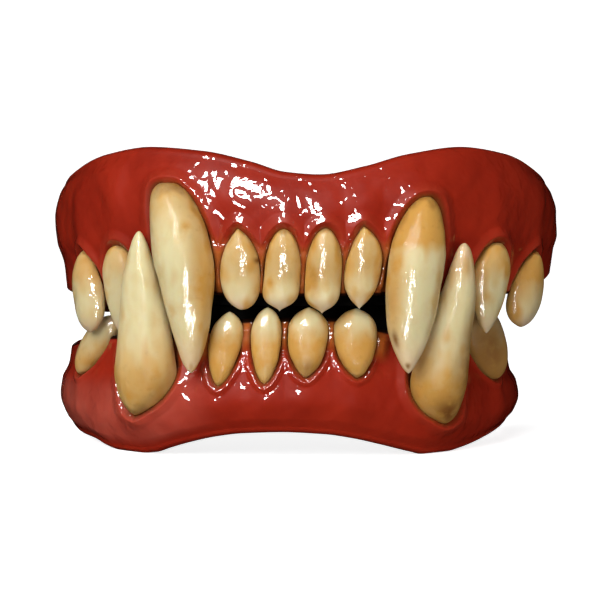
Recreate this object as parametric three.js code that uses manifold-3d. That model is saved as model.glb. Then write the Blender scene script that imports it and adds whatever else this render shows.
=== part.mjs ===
// Werewolf fang veneers: an upper and a lower acrylic facing, closed on each other as in a bite.
// Each facing is a curved gum wall with teeth set in sockets, and a short tray behind the front teeth
// that the wearer's own teeth sit on. Millimetres, +Z up, -Y is the side that faces the viewer.
import * as THREE from "three";
import { mergeVertices } from "three/addons/utils/BufferGeometryUtils.js";
import Module from "manifold-3d";

const wasm = await Module();
wasm.setup();

// Driving dimensions

// Moves the finished set so that its origin is at the bottom centre of its bounding box.
const FRAME_SHIFT = { x: 0, y: -17.62, z: 0.45 };

// Clear gap between a tooth and its socket, and between a tray and its gum wall.
const SEAT_GAP = 0.3;

// Plan of each dental arch: an ellipse whose front is at frontY, opened at the back.
const ARCH = {
  upper: { centreX: 0, frontY: 1.5, halfWidth: 32.2, halfDepth: 29, endAngle: 101 },
  lower: { centreX: -2.2, frontY: 3.5, halfWidth: 29.4, halfDepth: 27, endAngle: 101 },
};

// Gum wall, measured outward from the arch line.
const WALL_INNER = -1.6;
const RIM_HEIGHT = 0.8;
const GUM_COLUMNS = 44;
const GUM_ROWS = 7;

// The rear corner of each flange is rounded over this many degrees of arch.
const CORNER_ANGLE = 13;

// How far the gum surface stands out, from the biting edge (share 0) to the flange rim (share 1).
const GUM_RELIEF = [
  { share: 0.0, out: 0.5 },
  { share: 0.25, out: 0.9 },
  { share: 0.45, out: 1.8 },
  { share: 0.7, out: 2.1 },
  { share: 0.9, out: 1.5 },
  { share: 1.0, out: 0.7 },
];

// Heights of the two edges of each gum wall, by distance across from the middle of the set.
const UPPER_EDGES = [
  { x: -33, biting: 20.2, flange: 32.4 },
  { x: -31, biting: 19.8, flange: 34.8 },
  { x: -26, biting: 19.9, flange: 37.4 },
  { x: -20, biting: 20.2, flange: 38.4 },
  { x: -13, biting: 20.75, flange: 37.9 },
  { x: -7, biting: 20.75, flange: 36.6 },
  { x: -2.5, biting: 20.75, flange: 35.3 },
  { x: 1.8, biting: 20.75, flange: 35.0 },
  { x: 7.4, biting: 20.75, flange: 36.0 },
  { x: 13, biting: 20.75, flange: 37.5 },
  { x: 20, biting: 20.2, flange: 38.4 },
  { x: 26, biting: 20.2, flange: 37.5 },
  { x: 31, biting: 20.8, flange: 34.8 },
  { x: 33, biting: 22.2, flange: 32.4 },
];
const LOWER_EDGES = [
  { x: -32, biting: 11.6, flange: 1.9 },
  { x: -31, biting: 12.1, flange: 1.7 },
  { x: -29.8, biting: 12.7, flange: 1.45 },
  { x: -27.7, biting: 13.5, flange: 1.05 },
  { x: -26, biting: 14.1, flange: 0.6 },
  { x: -24.8, biting: 14.3, flange: 0.35 },
  { x: -19, biting: 14.6, flange: 0.35 },
  { x: -17, biting: 14.75, flange: 1.15 },
  { x: -15, biting: 14.9, flange: 1.9 },
  { x: -11.5, biting: 15.9, flange: 2.9 },
  { x: -8, biting: 17.1, flange: 3.5 },
  { x: -3, biting: 17.3, flange: 3.8 },
  { x: 2.4, biting: 17.3, flange: 3.5 },
  { x: 6, biting: 17.0, flange: 2.9 },
  { x: 9.5, biting: 15.7, flange: 2.0 },
  { x: 13.5, biting: 15.0, flange: 0.75 },
  { x: 14.6, biting: 14.75, flange: 0.35 },
  { x: 20.4, biting: 13.4, flange: 0.35 },
  { x: 22, biting: 13.0, flange: 0.6 },
  { x: 23.3, biting: 12.6, flange: 0.95 },
  { x: 25.4, biting: 11.8, flange: 1.6 },
  { x: 26.8, biting: 11.0, flange: 1.9 },
  { x: 28, biting: 10.4, flange: 2.0 },
];

// Trays behind the front teeth: a flat bite shelf with a lip that backs the gum wall.
const TRAY_ANGLE = 55;
const TRAY_COLUMNS = 18;
const TRAY_DEPTH = 7.5;
const TRAY_END_DEPTH = 1.6;
const TRAY_SHELF = 2.0;
const TRAY_LIP = 1.2;
const TRAY_LIP_HEIGHT = 7.5;
const BITE_PLANE = 19.0;

// Tooth forms. belly is the share of the length, from the root, where the tooth is widest.
// round is the power of the root end, point and taper shape the free end. front and back are the
// depths of the section as shares of its half width, curl bends the centre line and turn is the share
// by which the tooth faces forward instead of square to the arch.
const FORM = {
  leftFang:
    { belly: 0.4, round: 0.34, point: 1.3, taper: 0.6, front: 0.8, back: 0.6, curl: 2.4, turn: 0.6 },
  rightFang:
    { belly: 0.44, round: 0.44, point: 2.0, taper: 0.72, front: 0.764, back: 0.6, curl: 2.0, turn: 0.6 },
  slimFang:
    { belly: 0.25, round: 0.75, point: 1.1, taper: 0.58, front: 0.8, back: 0.7, curl: 1.3, turn: 0.6 },
  fullFang:
    { belly: 0.25, round: 0.62, point: 1.05, taper: 0.5, front: 0.8, back: 0.7, curl: 1.3, turn: 0.6 },
  firstFront:
    { belly: 0.56, round: 0.85, point: 2.8, taper: 0.62, front: 0.6, back: 0.5, curl: 1.0, turn: 0.3 },
  upperFront:
    { belly: 0.5, round: 0.56, point: 5.0, taper: 1.6, front: 0.6, back: 0.5, curl: 1.0, turn: 0.3 },
  lastFront:
    { belly: 0.5, round: 0.85, point: 3.2, taper: 1.3, front: 0.6, back: 0.5, curl: 1.0, turn: 0.3 },
  lowerFront:
    { belly: 0.66, round: 0.66, point: 2.2, taper: 0.72, front: 0.6, back: 0.5, curl: 1.0, turn: 0.3 },
  upperSide:
    { belly: 0.34, round: 0.48, point: 2.0, taper: 0.72, front: 0.62, back: 0.4, curl: 1.7, turn: 0.3 },
  upperRear:
    { belly: 0.57, round: 0.75, point: 2.6, taper: 0.62, front: 0.62, back: 0.4, curl: 1.7, turn: 0.3 },
  lowerSide:
    { belly: 0.55, round: 0.6, point: 3.6, taper: 0.6, front: 0.62, back: 0.4, curl: 1.0, turn: 0.3 },
  lowerBroad:
    { belly: 0.5, round: 0.6, point: 4.5, taper: 0.7, front: 0.62, back: 0.4, curl: 1.0, turn: 0.3 },
};
const EMBED_DEPTH = 1.2;
const BOW_FADE = 2.7;
const BOW_SCALE = 8.7;
const FANG_SIDES = 14;
const FANG_SECTIONS = 11;
const TOOTH_SIDES = 10;
const TOOTH_SECTIONS = 8;

// Gum collar raised round each root: its width beside the tooth, the share of the tooth's length it
// covers, and its depth as a share of the tooth's own.
const COLLAR_WIDTH = 0.9;
const COLLAR_SHARE = 0.4;
const COLLAR_DEPTH = 0.5;
const COLLAR_FADE = 0.75;
const COLLAR_SECTIONS = 5;

// One row for each tooth. Root and tip are the ends of its centre line: x across, z up, out from the arch.
// bow carries the root half of a tooth sideways off the straight line.
const UPPER_TEETH = [
  { name: "upper_fang_left", form: "leftFang", width: 7.7,
    rootX: -17.2, rootZ: 35.3, rootOut: 1.5, tipX: -14.5, tipZ: 10.8, tipOut: 2.7 },
  { name: "upper_fang_right", form: "rightFang", width: 7.3,
    rootX: 14.9, rootZ: 33.5, rootOut: 1.5, tipX: 12.9, tipZ: 10.8, tipOut: 2.7 },
  { name: "upper_incisor_1", form: "firstFront", width: 5.1,
    rootX: -8.35, rootZ: 29.9, rootOut: 1.0, tipX: -8.15, tipZ: 19.1, tipOut: 1.0, bow: 0.2 },
  { name: "upper_incisor_2", form: "upperFront", width: 4.6,
    rootX: -2.7, rootZ: 29.9, rootOut: 1.0, tipX: -3.3, tipZ: 18.6, tipOut: 1.0 },
  { name: "upper_incisor_3", form: "upperFront", width: 4.5,
    rootX: 2.4, rootZ: 30.0, rootOut: 1.0, tipX: 2.0, tipZ: 18.3, tipOut: 1.0 },
  { name: "upper_incisor_4", form: "lastFront", width: 4.7,
    rootX: 7.1, rootZ: 30.1, rootOut: 1.0, tipX: 6.7, tipZ: 18.9, tipOut: 1.0, bow: 0.4 },
  { name: "upper_premolar_left_1", form: "upperSide", width: 4.7,
    rootX: -24.0, rootZ: 27.0, rootOut: 0.9, tipX: -23.9, tipZ: 15.2, tipOut: 0.9 },
  { name: "upper_premolar_left_2", form: "upperRear", width: 5.1,
    rootX: -29.1, rootZ: 25.6, rootOut: 0.9, tipX: -28.5, tipZ: 15.0, tipOut: 1.7 },
  { name: "upper_premolar_right_1", form: "upperSide", width: 5.4,
    rootX: 24.2, rootZ: 26.9, rootOut: 0.9, tipX: 23.3, tipZ: 15.2, tipOut: 0.9 },
  { name: "upper_premolar_right_2", form: "upperRear", width: 6.5,
    rootX: 30.3, rootZ: 25.4, rootOut: 0.9, tipX: 28.3, tipZ: 15.5, tipOut: 0.8 },
];
const LOWER_TEETH = [
  { name: "lower_fang_left", form: "slimFang", width: 8.2,
    rootX: -21.5, rootZ: 4.3, rootOut: 1.5, tipX: -21.1, tipZ: 28.6, tipOut: 4.7, bow: 1.1 },
  { name: "lower_fang_right", form: "fullFang", width: 7.6,
    rootX: 17.5, rootZ: 3.2, rootOut: 1.5, tipX: 20.0, tipZ: 27.1, tipOut: 6.9, bow: -1.5 },
  { name: "lower_incisor_1", form: "lowerFront", width: 4.2,
    rootX: -10.9, rootZ: 8.4, rootOut: 1.0, tipX: -9.6, tipZ: 18.4, tipOut: 0.9 },
  { name: "lower_incisor_2", form: "lowerFront", width: 4.0,
    rootX: -5.2, rootZ: 8.9, rootOut: 1.0, tipX: -4.8, tipZ: 19.0, tipOut: 0.9 },
  { name: "lower_incisor_3", form: "lowerFront", width: 5.2,
    rootX: -0.1, rootZ: 9.6, rootOut: 1.0, tipX: 0.4, tipZ: 19.0, tipOut: 0.9 },
  { name: "lower_incisor_4", form: "lowerFront", width: 5.7,
    rootX: 6.3, rootZ: 9.5, rootOut: 1.0, tipX: 6.3, tipZ: 18.8, tipOut: 0.9 },
  { name: "lower_premolar_left", form: "lowerSide", width: 5.2,
    rootX: -29.4, rootZ: 9.0, rootOut: 0.8, tipX: -25.4, tipZ: 17.0, tipOut: -0.2 },
  { name: "lower_premolar_right", form: "lowerBroad", width: 7.0,
    rootX: 24.6, rootZ: 8.4, rootOut: 0.8, tipX: 22.4, tipZ: 18.4, tipOut: 0.6 },
];

// Materials

const GUM = new THREE.MeshStandardMaterial({ color: 0x9c2a1e, roughness: 0.25, metalness: 0 });
const IVORY = new THREE.MeshStandardMaterial({ color: 0xd9bd86, roughness: 0.3, metalness: 0 });
const TRAY = new THREE.MeshStandardMaterial({ color: 0x0a0808, roughness: 0.6, metalness: 0 });

// Small helpers

const FORWARD = new THREE.Vector3(0, -1, 0);
const radians = (degrees) => (degrees * Math.PI) / 180;

// Smooth value of a column at a position, from a table whose rows rise along the key column.
function lookUp(table, key, position, column) {
  const last = table.length - 1;
  if (position <= table[0][key]) return table[0][column];
  if (position >= table[last][key]) return table[last][column];
  const next = table.findIndex((row) => row[key] > position);
  const low = table[next - 1];
  const high = table[next];
  // Slope through a row, level where the table turns so that the curve never overshoots a row.
  const chord = (row) =>
    (table[row + 1][column] - table[row][column]) / (table[row + 1][key] - table[row][key]);
  const slopeAt = (row) => {
    const before = chord(Math.max(0, row - 1));
    const after = chord(Math.min(last - 1, row));
    return before * after <= 0 ? 0 : (2 * before * after) / (before + after);
  };
  const step = high[key] - low[key];
  const t = (position - low[key]) / step;
  const rise = high[column] - low[column];
  const lead = slopeAt(next - 1) * step - rise;
  const trail = rise - slopeAt(next) * step;
  return low[column] + t * rise + t * (1 - t) * ((1 - t) * lead + t * trail);
}

// Arch line

// Point and outward normal of an arch at an angle from its middle, in plan.
function archFrame(arch, angle) {
  const point = new THREE.Vector3(
    arch.centreX + arch.halfWidth * Math.sin(angle),
    arch.frontY + arch.halfDepth * (1 - Math.cos(angle)),
    0,
  );
  const tangent = new THREE.Vector3(
    arch.halfWidth * Math.cos(angle),
    arch.halfDepth * Math.sin(angle),
    0,
  ).normalize();
  const outward = new THREE.Vector3(tangent.y, -tangent.x, 0);
  return { point, outward };
}

// Angle at which a point that stands "out" from the arch has the given x.
function angleAtX(arch, x, out) {
  let angle = 0;
  for (let pass = 0; pass < 40; pass += 1) {
    const { outward } = archFrame(arch, angle);
    const sine = (x - arch.centreX - outward.x * out) / arch.halfWidth;
    angle = Math.asin(Math.max(-0.995, Math.min(0.995, sine)));
  }
  return angle;
}

// Closed meshes and solids

// Skins rings of equal point count into a closed mesh, with a fan to a point at each end.
function skinRings(rings, startPoint, endPoint) {
  const sides = rings[0].length;
  const positions = [];
  rings.flat().forEach((p) => positions.push(p.x, p.y, p.z));
  positions.push(startPoint.x, startPoint.y, startPoint.z, endPoint.x, endPoint.y, endPoint.z);
  const startIndex = rings.length * sides;
  const endIndex = startIndex + 1;
  const triangles = [];
  for (let side = 0; side < sides; side += 1) {
    const next = (side + 1) % sides;
    triangles.push(startIndex, next, side);
    for (let ring = 0; ring + 1 < rings.length; ring += 1) {
      const a = ring * sides;
      const b = a + sides;
      triangles.push(a + side, a + next, b + next, a + side, b + next, b + side);
    }
    const top = (rings.length - 1) * sides;
    triangles.push(endIndex, top + side, top + next);
  }
  return meshGeometry(positions, triangles);
}

function meshGeometry(positions, triangles) {
  const geometry = new THREE.BufferGeometry();
  geometry.setAttribute("position", new THREE.Float32BufferAttribute(positions, 3));
  geometry.setIndex(triangles);
  return geometry;
}

// Solid of a closed geometry, turned the right way out.
function toSolid(geometry) {
  const merged = mergeVertices(geometry, 1e-4);
  const vertProperties = new Float32Array(merged.attributes.position.array);
  const triVerts = new Uint32Array(merged.index.array);
  const build = () => new wasm.Manifold(new wasm.Mesh({ numProp: 3, vertProperties, triVerts }));
  const solid = build();
  if (solid.volume() > 0) return solid;
  for (let i = 0; i < triVerts.length; i += 3) {
    [triVerts[i + 1], triVerts[i + 2]] = [triVerts[i + 2], triVerts[i + 1]];
  }
  return build();
}

function toMesh(solid, name, material) {
  const made = solid.getMesh();
  const geometry = meshGeometry(Array.from(made.vertProperties), Array.from(made.triVerts));
  geometry.computeVertexNormals();
  const mesh = new THREE.Mesh(geometry, material);
  mesh.name = name;
  return mesh;
}

// Teeth

// Half width of a tooth, as a share of its largest, at a share of the length from the root.
function toothOutline(form, along) {
  if (along < form.belly) {
    const rise = 1 - along / form.belly;
    return Math.pow(1 - rise * rise, form.round);
  }
  const fall = (along - form.belly) / (1 - form.belly);
  return Math.pow(1 - Math.pow(fall, form.point), form.taper);
}

// Loft of a tooth. grow widens it on all sides, upTo stops it short, and frontShare flattens its front.
function toothLoft(arch, tooth, { grow = 0, upTo = 1, frontShare = 1 } = {}) {
  const form = FORM[tooth.form];
  const isFang = tooth.form.endsWith("Fang");
  const sides = isFang ? FANG_SIDES : TOOTH_SIDES;
  const fullSections = isFang ? FANG_SECTIONS : TOOTH_SECTIONS;
  const sections = upTo < 1 ? COLLAR_SECTIONS : fullSections;
  const rootFrame = archFrame(arch, angleAtX(arch, tooth.rootX, tooth.rootOut));
  const tipFrame = archFrame(arch, angleAtX(arch, tooth.tipX, tooth.tipOut));
  const root = rootFrame.point.clone().addScaledVector(rootFrame.outward, tooth.rootOut);
  const tip = tipFrame.point.clone().addScaledVector(tipFrame.outward, tooth.tipOut);
  root.z = tooth.rootZ;
  tip.z = tooth.tipZ;
  const facing = rootFrame.outward.clone().lerp(FORWARD, form.turn).normalize();
  const across = new THREE.Vector3(-facing.y, facing.x, 0);
  const centreAt = (along) => {
    const bent = 1 - Math.pow(1 - along, form.curl);
    const centre = root.clone().lerp(tip, bent);
    centre.x += (tooth.bow ?? 0) * BOW_SCALE * along * Math.pow(1 - along, BOW_FADE);
    centre.z = tooth.rootZ + (tooth.tipZ - tooth.rootZ) * along;
    return centre;
  };
  const rings = [];
  for (let section = 0; section < sections; section += 1) {
    // Sections crowd towards both ends, where the outline turns fastest.
    const along = (upTo * (1 - Math.cos((Math.PI * (section + 0.55)) / (sections + 0.1)))) / 2;
    const spread = upTo < 1 ? grow * (1 - COLLAR_FADE * Math.pow(along / upTo, 3)) : grow;
    const halfWidth = (tooth.width / 2) * toothOutline(form, along) + spread;
    const free = THREE.MathUtils.smoothstep(along, 0.3, 0.75);
    const backFull = halfWidth * form.back;
    const backHeld = Math.min(backFull, EMBED_DEPTH + grow);
    const back = THREE.MathUtils.lerp(backHeld, backFull, isFang ? free : 0);
    const front = halfWidth * form.front * frontShare;
    const centre = centreAt(along);
    const ring = [];
    for (let side = 0; side < sides; side += 1) {
      const turn = (2 * Math.PI * side) / sides;
      const depth = Math.sin(turn) > 0 ? front : back;
      ring.push(
        centre
          .clone()
          .addScaledVector(across, halfWidth * Math.cos(turn))
          .addScaledVector(facing, depth * Math.sin(turn)),
      );
    }
    rings.push(ring);
  }
  const upward = Math.sign(tooth.tipZ - tooth.rootZ);
  const rootPole = centreAt(0);
  rootPole.z -= upward * grow;
  const endPole = centreAt(upTo);
  if (upTo === 1) endPole.z += upward * grow;
  return toSolid(skinRings(rings, rootPole, endPole));
}

// Gum walls

// Section of a gum wall at an angle: matching rows of outer and inner points and the two rounded edges.
function gumSection(arch, edges, angle) {
  const { point, outward } = archFrame(arch, angle);
  const biting = lookUp(edges, "x", point.x, "biting");
  const flangeFull = lookUp(edges, "x", point.x, "flange");
  // The flange rounds off towards the biting edge over the last stretch of arch.
  const past = Math.abs(angle) - radians(arch.endAngle - CORNER_ANGLE);
  const corner = Math.max(0, past) / radians(CORNER_ANGLE);
  const cornerDrop = arch.keepsFlange ? 0 : 0.55 * (1 - Math.sqrt(1 - corner * corner * 0.98));
  const flange = THREE.MathUtils.lerp(flangeFull, biting, cornerDrop);
  const at = (out, z) => point.clone().addScaledVector(outward, out).setZ(z);
  const outer = [];
  const inner = [];
  for (let row = 0; row <= GUM_ROWS; row += 1) {
    const share = row / GUM_ROWS;
    const z = THREE.MathUtils.lerp(biting, flange, share);
    const out = lookUp(GUM_RELIEF, "share", share, "out");
    outer.push(at(out, z));
    inner.push(at(WALL_INNER, z));
  }
  const upward = Math.sign(flange - biting);
  const middle = (lookUp(GUM_RELIEF, "share", 0, "out") + WALL_INNER) / 2;
  const bitingRim = at(middle, biting);
  const flangeRim = at(middle, flange + upward * RIM_HEIGHT);
  return { outer, inner, bitingRim, flangeRim };
}

// Closed wall swept along the arch.
function gumWall(arch, edges) {
  const rings = [];
  for (let column = 0; column <= GUM_COLUMNS; column += 1) {
    const angle = radians(arch.endAngle) * ((2 * column) / GUM_COLUMNS - 1);
    const { outer, inner, bitingRim, flangeRim } = gumSection(arch, edges, angle);
    rings.push([bitingRim, ...outer, flangeRim, ...inner.slice().reverse()]);
  }
  const sides = rings[0].length;
  const positions = [];
  rings.flat().forEach((p) => positions.push(p.x, p.y, p.z));
  const triangles = [];
  for (let column = 0; column < GUM_COLUMNS; column += 1) {
    for (let side = 0; side < sides; side += 1) {
      const a = column * sides + side;
      const b = column * sides + ((side + 1) % sides);
      triangles.push(a, b, b + sides, a, b + sides, a + sides);
    }
  }
  // Each end is closed by a strip between its outer and inner rows.
  const closeEnd = (base, turned) => {
    for (let step = 0; step * 2 + 2 <= sides; step += 1) {
      const a = base + step;
      const b = base + step + 1;
      const c = base + ((sides - step) % sides);
      const d = base + sides - step - 1;
      const faces = step === 0 ? [[a, b, d]] : [[a, b, d], [a, d, c]];
      faces
        .filter((face) => new Set(face).size === 3)
        .forEach(([p, q, r]) => triangles.push(...(turned ? [p, q, r] : [p, r, q])));
    }
  };
  closeEnd(0, false);
  closeEnd(GUM_COLUMNS * sides, true);
  return toSolid(meshGeometry(positions, triangles));
}

// Gum wall with a raised collar and a socket for every tooth.
function gumWithSockets(arch, edges, teeth) {
  let gum = gumWall(arch, edges);
  teeth.forEach((tooth) => {
    const collar = { grow: COLLAR_WIDTH, upTo: COLLAR_SHARE, frontShare: COLLAR_DEPTH };
    gum = gum.add(toothLoft(arch, tooth, collar));
  });
  teeth.forEach((tooth) => {
    gum = gum.subtract(toothLoft(arch, tooth, { grow: SEAT_GAP }));
  });
  return gum;
}

// Trays

// L-shaped tray: the shelf meets the bite plane and narrows to the ends, and the lip runs along the gum
// wall away from it.
function biteTray(arch, upward) {
  const bite = BITE_PLANE + (upward * SEAT_GAP) / 2;
  const shelf = bite + upward * TRAY_SHELF;
  const lipEnd = bite + upward * TRAY_LIP_HEIGHT;
  const front = WALL_INNER - SEAT_GAP;
  const profileAt = (depth) => [
    { out: front, z: bite },
    { out: front, z: lipEnd },
    { out: front - TRAY_LIP, z: lipEnd },
    { out: front - TRAY_LIP, z: shelf },
    { out: front - depth, z: shelf },
    { out: front - depth, z: bite },
  ];
  const sides = profileAt(TRAY_DEPTH).length;
  const positions = [];
  for (let column = 0; column <= TRAY_COLUMNS; column += 1) {
    const share = (2 * column) / TRAY_COLUMNS - 1;
    const { point, outward } = archFrame(arch, radians(TRAY_ANGLE) * share);
    const depth = THREE.MathUtils.lerp(TRAY_DEPTH, TRAY_END_DEPTH, share * share);
    profileAt(depth).forEach(({ out, z }) => {
      const p = point.clone().addScaledVector(outward, out);
      positions.push(p.x, p.y, z);
    });
  }
  const triangles = [];
  for (let column = 0; column < TRAY_COLUMNS; column += 1) {
    for (let side = 0; side < sides; side += 1) {
      const a = column * sides + side;
      const b = column * sides + ((side + 1) % sides);
      triangles.push(a, b, b + sides, a, b + sides, a + sides);
    }
  }
  const last = TRAY_COLUMNS * sides;
  const endFaces = [[0, 3, 5], [0, 1, 3], [1, 2, 3], [3, 4, 5]];
  endFaces.forEach(([p, q, r]) => triangles.push(p, r, q, last + p, last + q, last + r));
  return toSolid(meshGeometry(positions, triangles));
}

// Assembly

function veneer(arch, edges, teeth, side, upward) {
  const group = new THREE.Group();
  group.add(toMesh(gumWithSockets(arch, edges, teeth), side + "_gum", GUM));
  group.add(toMesh(biteTray(arch, upward), side + "_tray", TRAY));
  teeth.forEach((tooth) => group.add(toMesh(toothLoft(arch, tooth), tooth.name, IVORY)));
  return group;
}

const fangVeneers = new THREE.Group();
fangVeneers.add(veneer(ARCH.upper, UPPER_EDGES, UPPER_TEETH, "upper", 1));
fangVeneers.add(veneer({ ...ARCH.lower, keepsFlange: true }, LOWER_EDGES, LOWER_TEETH, "lower", -1));
fangVeneers.position.set(FRAME_SHIFT.x, FRAME_SHIFT.y, FRAME_SHIFT.z);

export default fangVeneers;
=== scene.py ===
import math

import bpy
import numpy as np
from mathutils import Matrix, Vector


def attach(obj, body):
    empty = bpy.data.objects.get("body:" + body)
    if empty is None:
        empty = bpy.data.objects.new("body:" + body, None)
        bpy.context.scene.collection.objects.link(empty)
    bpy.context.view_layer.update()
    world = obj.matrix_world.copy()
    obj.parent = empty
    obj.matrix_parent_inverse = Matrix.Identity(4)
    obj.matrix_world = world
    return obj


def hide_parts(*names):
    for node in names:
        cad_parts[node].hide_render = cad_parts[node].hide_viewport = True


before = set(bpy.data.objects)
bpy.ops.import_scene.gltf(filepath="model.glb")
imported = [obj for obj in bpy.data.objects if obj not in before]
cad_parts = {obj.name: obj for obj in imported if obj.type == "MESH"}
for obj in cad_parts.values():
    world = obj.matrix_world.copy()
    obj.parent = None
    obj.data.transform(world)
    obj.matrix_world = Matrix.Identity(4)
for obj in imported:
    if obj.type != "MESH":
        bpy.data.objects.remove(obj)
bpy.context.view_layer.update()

# Lengths of the part are millimetres in the drawing frame. FRAME_SHIFT and MM take them to the row frame.
# A pair of numbers for smoothstep holds where a thing is nothing and where it is full.
MM = 0.001
FRAME_SHIFT = np.array([0.0, -17.62, 0.45])
FORWARD = np.array([0.0, -1.0])

# The two arches in plan, and the search for the place on one at a given x
ARCH = {
    "upper": dict(centre_x=0.0, front_y=1.5, half_width=32.2, half_depth=29.0),
    "lower": dict(centre_x=-2.2, front_y=3.5, half_width=29.4, half_depth=27.0),
}
ANGLE_PASSES = 40
SINE_LIMIT = 0.995

# Gum wall: its inner face, the heights of its two rounded rims, and its mesh
WALL_INNER = -1.6
RIM_HEIGHT = 0.8
BITING_RIM = 0.3
GUM_COLUMNS = 550
GUM_ROWS = 140
RIM_STEPS = 10
INNER_ROWS = 14
# Even and cubic parts of the columns' spacing, which is closest at the front
SPACING = (0.55, 0.45)

# Ends of the walls
END_ANGLE = math.radians(101)
END_ROUND = math.radians(3.5)
ROUND_LIMIT = 0.98
CORNER_ANGLE = math.radians(13)
CORNER_DROP = 0.55
CORNER_LIMIT = 0.98
# The right end of the upper gum flares at its biting edge.
END_FLARE = 0.8
FLARE_FADE = (math.radians(68), math.radians(84))
FLARE_SHARE = (0.7, 0.2)

# Gum surface standing out from the arch line, from the biting edge (0) to the flange (1)
RELIEF_SHARE = [0.0, 0.25, 0.45, 0.7, 0.9, 1.0]
RELIEF_OUT = [0.5, 0.9, 1.8, 2.1, 1.5, 0.7]

# Heights of the wall's edges: x, biting edge, flange
EDGES = {
    "upper": np.array([
        (-33, 20.2, 32.4), (-31, 19.8, 34.8), (-26, 19.9, 37.4), (-20, 20.2, 38.4), (-13, 20.75, 37.9),
        (-7, 20.75, 36.6), (-2.5, 20.75, 35.3), (1.8, 20.75, 35.0), (7.4, 20.75, 36.0), (13, 20.75, 37.5),
        (20, 20.2, 38.4), (26, 20.2, 37.5), (31, 21.2, 34.8), (33, 23.3, 32.4)]),
    "lower": np.array([
        (-32, 11.6, 2.7), (-31, 12.1, 2.1), (-29.8, 12.7, 1.55), (-27.7, 13.5, 1.25), (-26, 14.1, 0.65),
        (-24.5, 14.3, 0.35), (-21.5, 14.5, 0.35), (-19.5, 14.6, 0.6), (-17.5, 14.7, 1.35), (-15, 14.9, 2.2),
        (-11.5, 15.9, 3.1), (-8, 17.1, 3.6), (-3, 17.3, 3.8), (2.4, 17.3, 3.5), (6, 17.0, 2.9),
        (9.5, 15.7, 2.0), (13.5, 15.0, 0.8), (15.2, 14.6, 0.35), (18.5, 13.9, 0.35), (20.5, 13.4, 0.65),
        (22, 13.0, 1.0), (23.3, 12.6, 1.35), (25.4, 11.8, 1.95), (26.8, 11.0, 2.5), (28, 10.4, 2.9)]),
}
# Sense of z from the biting edge to the flange
UPWARD = {"upper": 1, "lower": -1}

# Points of gum that reach past the biting edge between two teeth: x, half width, reach
PAPILLAE = {
    "upper": [(-26.9, 1.1, 2.1), (20.6, 1.0, 1.5)],
    "lower": [],
}

# Lumps of the gum, which fade at its edges and ends
SWELL_HEIGHT = 0.06
LUMP_HEIGHT = 0.020
LUMP_END = math.radians(35)
LUMP_BITING = (0.0, 0.06)
LUMP_FLANGE = (1.0, 0.9)

# Rolled collar of gum round a root: height, distance of its crest from the tooth, run in and run out,
# shares of the tooth's length where it starts to fade and is gone, width and height of the swelling over
# the root, and width of the brown seam
COLLAR_COLUMNS = ("height", "ridge", "inner", "outer", "fade", "bulge_width", "bulge", "seam")
COLLAR = {name: dict(zip(COLLAR_COLUMNS, row)) for name, row in {
    "fang": (0.42, 0.85, 0.36, 1.30, (0.30, 0.62), 3.4, 0.75, 0.42),
    "upper": (0.44, 0.85, 0.36, 1.40, (0.28, 0.55), 1.9, 0.28, 0.30),
    "lower": (0.28, 0.60, 0.26, 0.75, (0.28, 0.55), 1.9, 0.28, 0.30),
}.items()}
CREST_POWER = 1.5
RAMP_EASE = 0.3
BULGE_ROOT = (0.45, 0.0)
BULGE_FLANGE = (1.0, 0.75)
# Groove round a tooth, and the socket under it
GROOVE_DEPTH = 0.20
GROOVE_WIDTH = 0.2
SOCKET_DEPTH = 0.8
SOCKET_RUN = 0.3
# Part of the wall where distance from a tooth is measured: past its sides, off its centre line, and past
# its root by share of its length. FAR stands for the distance elsewhere.
NEAR_SIDE = 5
NEAR_FACE = 9
NEAR_ROOT = -0.6
FAR = 9.0
# Between the front teeth the gum comes forward, almost flush with their sides.
SEPTUM_FILL = 0.7
SEPTUM_GROOVE = 0.7
SEPTUM_SHARE = {"upper": (0.46, 0.30), "lower": (0.32, 0.16)}
SEPTUM_CENTRE = {"upper": 0, "lower": -2}
SEPTUM_ACROSS = (15.5, 12.5)
SEPTUM_NEAR = (2.4, 0.8)
SEPTUM_GROOVE_FADE = (-0.1, 0.1)
SEPTUM_TOOTH = (-0.3, 0.1)
SEPTUM_BITING = (0.0, 0.08)

# Where the gum is wet, where the lower one is beaded, and where its left cheek has a painted sheen: a pale
# pink painted reflection
WET_FADE = (math.radians(68), math.radians(48))
BEAD_NEAR = (1.5, 0.7)
SHEEN_ACROSS = (-10, -21)
SHEEN_SHARE = (0.30, 0.55)
SHEEN_FLANGE = (1.0, 0.9)
# The biting edge is painted near-black, painted shade for the dark slit between the rows; it stops short of
# the walls' ends, and gives way to flesh on the inner face.
EDGE_SHARE = (0.020, 0.005)
EDGE_ENDS = (math.radians(66), math.radians(52))
EDGE_INSIDE = (4.0, 0)

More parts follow.
